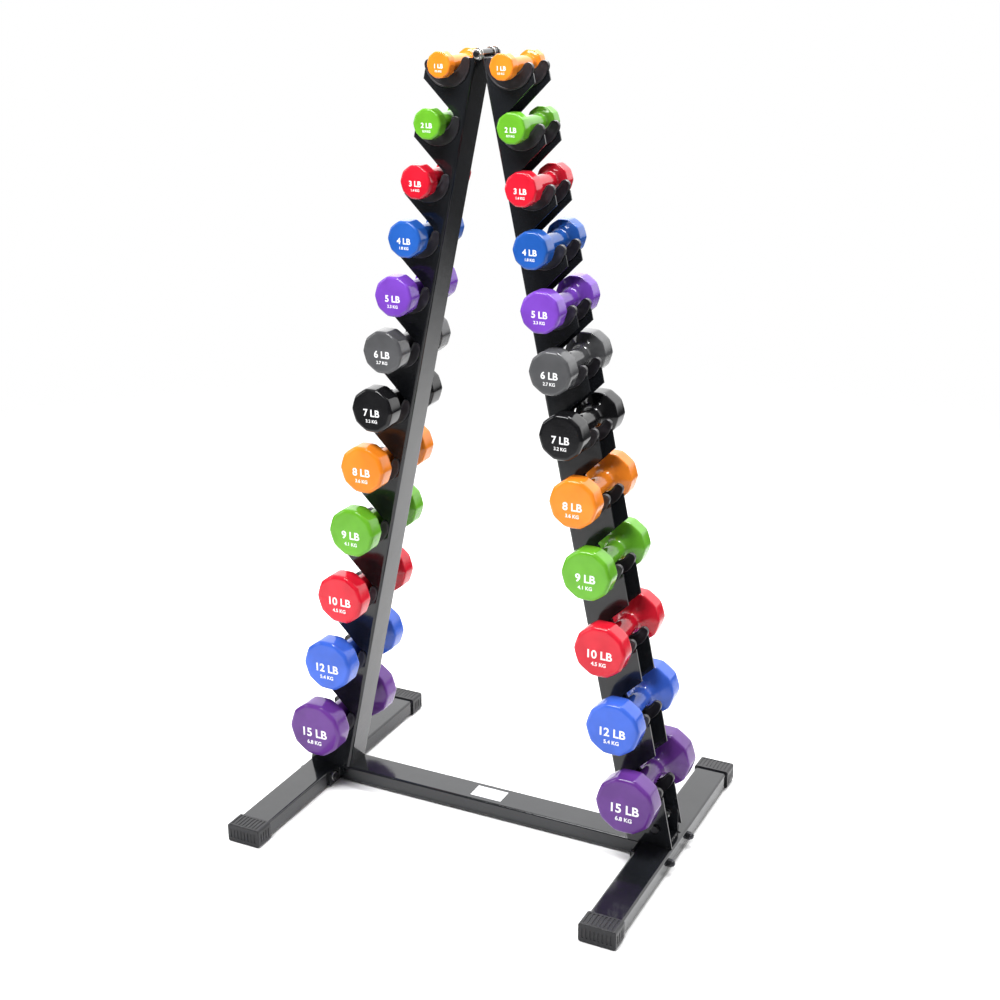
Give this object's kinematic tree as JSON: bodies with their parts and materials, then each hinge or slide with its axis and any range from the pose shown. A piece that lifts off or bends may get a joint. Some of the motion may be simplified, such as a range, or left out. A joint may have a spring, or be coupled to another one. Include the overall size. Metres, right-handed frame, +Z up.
{
  "type": "dumbbell rack",
  "caption": "Free-standing A-frame rack whose leaning hooked uprights hold pairs of vinyl dumbbells in padded saddles, on long flat feet.",
  "frame": {"origin": "on the floor, under the middle of the rack", "axes": "+X across the A from left to right, +Y from front to rear, +Z up"},
  "size_m": [0.772, 0.608, 1.3775],
  "materials": {
    "orange_vinyl": "glossy vinyl dip over cast iron",
    "green_vinyl": "glossy vinyl dip over cast iron",
    "red_vinyl": "glossy vinyl dip over cast iron",
    "blue_vinyl": "glossy vinyl dip over cast iron",
    "bright_blue_vinyl": "glossy vinyl dip over cast iron",
    "violet_vinyl": "glossy vinyl dip over cast iron",
    "grey_vinyl": "glossy vinyl dip over cast iron",
    "black_vinyl": "glossy vinyl dip over cast iron",
    "purple_vinyl": "glossy vinyl dip over cast iron",
    "black_powder_coat": "glossy black powder coat on steel",
    "cap_plastic": "moulded dark plastic with ribs",
    "pad_rubber": "smooth dark moulded rubber",
    "label_film": "blank white film",
    "zinc_hardware": "bright zinc plate",
    "black_hardware": "black oxide steel"
  },
  "bodies": {
    "rack": {"blank_label": "label_film", "crossbar": "black_powder_coat", "foot_bolts": "black_hardware", "foot_nuts": "zinc_hardware", "left_end_plate": "black_powder_coat", "left_foot_bracket": "black_powder_coat", "left_front_cap": "cap_plastic", "left_front_hook_plate": "black_powder_coat", "left_front_pads": "pad_rubber", "left_leg": "black_powder_coat", "left_rear_cap": "cap_plastic", "left_rear_hook_plate": "black_powder_coat", "left_rear_pads": "pad_rubber", "left_top_sleeve": "black_powder_coat", "left_web": "black_powder_coat", "leg_bolts": "black_hardware", "leg_cap_nuts": "black_hardware", "leg_washers": "zinc_hardware", "right_end_plate": "black_powder_coat", "right_foot_bracket": "black_powder_coat", "right_front_cap": "cap_plastic", "right_front_hook_plate": "black_powder_coat", "right_front_pads": "pad_rubber", "right_leg": "black_powder_coat", "right_rear_cap": "cap_plastic", "right_rear_hook_plate": "black_powder_coat", "right_rear_pads": "pad_rubber", "right_top_sleeve": "black_powder_coat", "right_web": "black_powder_coat", "top_bolt": "black_hardware", "top_nut": "zinc_hardware", "top_washers": "zinc_hardware"},
    "left_15lb": {"left_dumbbell_15lb": "purple_vinyl"},
    "left_12lb": {"left_dumbbell_12lb": "bright_blue_vinyl"},
    "left_10lb": {"left_dumbbell_10lb": "red_vinyl"},
    "left_9lb": {"left_dumbbell_9lb": "green_vinyl"},
    "left_8lb": {"left_dumbbell_8lb": "orange_vinyl"},
    "left_7lb": {"left_dumbbell_7lb": "black_vinyl"},
    "left_6lb": {"left_dumbbell_6lb": "grey_vinyl"},
    "left_5lb": {"left_dumbbell_5lb": "violet_vinyl"},
    "left_4lb": {"left_dumbbell_4lb": "blue_vinyl"},
    "left_3lb": {"left_dumbbell_3lb": "red_vinyl"},
    "left_2lb": {"left_dumbbell_2lb": "green_vinyl"},
    "left_1lb": {"left_dumbbell_1lb": "orange_vinyl"},
    "right_15lb": {"right_dumbbell_15lb": "purple_vinyl"},
    "right_12lb": {"right_dumbbell_12lb": "bright_blue_vinyl"},
    "right_10lb": {"right_dumbbell_10lb": "red_vinyl"},
    "right_9lb": {"right_dumbbell_9lb": "green_vinyl"},
    "right_8lb": {"right_dumbbell_8lb": "orange_vinyl"},
    "right_7lb": {"right_dumbbell_7lb": "black_vinyl"},
    "right_6lb": {"right_dumbbell_6lb": "grey_vinyl"},
    "right_5lb": {"right_dumbbell_5lb": "violet_vinyl"},
    "right_4lb": {"right_dumbbell_4lb": "blue_vinyl"},
    "right_3lb": {"right_dumbbell_3lb": "red_vinyl"},
    "right_2lb": {"right_dumbbell_2lb": "green_vinyl"},
    "right_1lb": {"right_dumbbell_1lb": "orange_vinyl"}
  },
  "joints": [
    {"name": "lift_left_15lb", "type": "slide", "parent": "rack", "child": "left_15lb", "axis": [-0.6691, 0, 0.7431], "range_m": [0, 0.15]},
    {"name": "lift_left_12lb", "type": "slide", "parent": "rack", "child": "left_12lb", "axis": [-0.6691, 0, 0.7431], "range_m": [0, 0.15]},
    {"name": "lift_left_10lb", "type": "slide", "parent": "rack", "child": "left_10lb", "axis": [-0.6691, 0, 0.7431], "range_m": [0, 0.15]},
    {"name": "lift_left_9lb", "type": "slide", "parent": "rack", "child": "left_9lb", "axis": [-0.6691, 0, 0.7431], "range_m": [0, 0.15]},
    {"name": "lift_left_8lb", "type": "slide", "parent": "rack", "child": "left_8lb", "axis": [-0.6691, 0, 0.7431], "range_m": [0, 0.15]},
    {"name": "lift_left_7lb", "type": "slide", "parent": "rack", "child": "left_7lb", "axis": [-0.6691, 0, 0.7431], "range_m": [0, 0.15]},
    {"name": "lift_left_6lb", "type": "slide", "parent": "rack", "child": "left_6lb", "axis": [-0.6691, 0, 0.7431], "range_m": [0, 0.15]},
    {"name": "lift_left_5lb", "type": "slide", "parent": "rack", "child": "left_5lb", "axis": [-0.6691, 0, 0.7431], "range_m": [0, 0.15]},
    {"name": "lift_left_4lb", "type": "slide", "parent": "rack", "child": "left_4lb", "axis": [-0.6691, 0, 0.7431], "range_m": [0, 0.15]},
    {"name": "lift_left_3lb", "type": "slide", "parent": "rack", "child": "left_3lb", "axis": [-0.6691, 0, 0.7431], "range_m": [0, 0.15]},
    {"name": "lift_left_2lb", "type": "slide", "parent": "rack", "child": "left_2lb", "axis": [-0.6691, 0, 0.7431], "range_m": [0, 0.15]},
    {"name": "lift_left_1lb", "type": "slide", "parent": "rack", "child": "left_1lb", "axis": [-0.6691, 0, 0.7431], "range_m": [0, 0.15]},
    {"name": "lift_right_15lb", "type": "slide", "parent": "rack", "child": "right_15lb", "axis": [0.6691, 0, 0.7431], "range_m": [0, 0.15]},
    {"name": "lift_right_12lb", "type": "slide", "parent": "rack", "child": "right_12lb", "axis": [0.6691, 0, 0.7431], "range_m": [0, 0.15]},
    {"name": "lift_right_10lb", "type": "slide", "parent": "rack", "child": "right_10lb", "axis": [0.6691, 0, 0.7431], "range_m": [0, 0.15]},
    {"name": "lift_right_9lb", "type": "slide", "parent": "rack", "child": "right_9lb", "axis": [0.6691, 0, 0.7431], "range_m": [0, 0.15]},
    {"name": "lift_right_8lb", "type": "slide", "parent": "rack", "child": "right_8lb", "axis": [0.6691, 0, 0.7431], "range_m": [0, 0.15]},
    {"name": "lift_right_7lb", "type": "slide", "parent": "rack", "child": "right_7lb", "axis": [0.6691, 0, 0.7431], "range_m": [0, 0.15]},
    {"name": "lift_right_6lb", "type": "slide", "parent": "rack", "child": "right_6lb", "axis": [0.6691, 0, 0.7431], "range_m": [0, 0.15]},
    {"name": "lift_right_5lb", "type": "slide", "parent": "rack", "child": "right_5lb", "axis": [0.6691, 0, 0.7431], "range_m": [0, 0.15]},
    {"name": "lift_right_4lb", "type": "slide", "parent": "rack", "child": "right_4lb", "axis": [0.6691, 0, 0.7431], "range_m": [0, 0.15]},
    {"name": "lift_right_3lb", "type": "slide", "parent": "rack", "child": "right_3lb", "axis": [0.6691, 0, 0.7431], "range_m": [0, 0.15]},
    {"name": "lift_right_2lb", "type": "slide", "parent": "rack", "child": "right_2lb", "axis": [0.6691, 0, 0.7431], "range_m": [0, 0.15]},
    {"name": "lift_right_1lb", "type": "slide", "parent": "rack", "child": "right_1lb", "axis": [0.6691, 0, 0.7431], "range_m": [0, 0.15]}
  ]
}
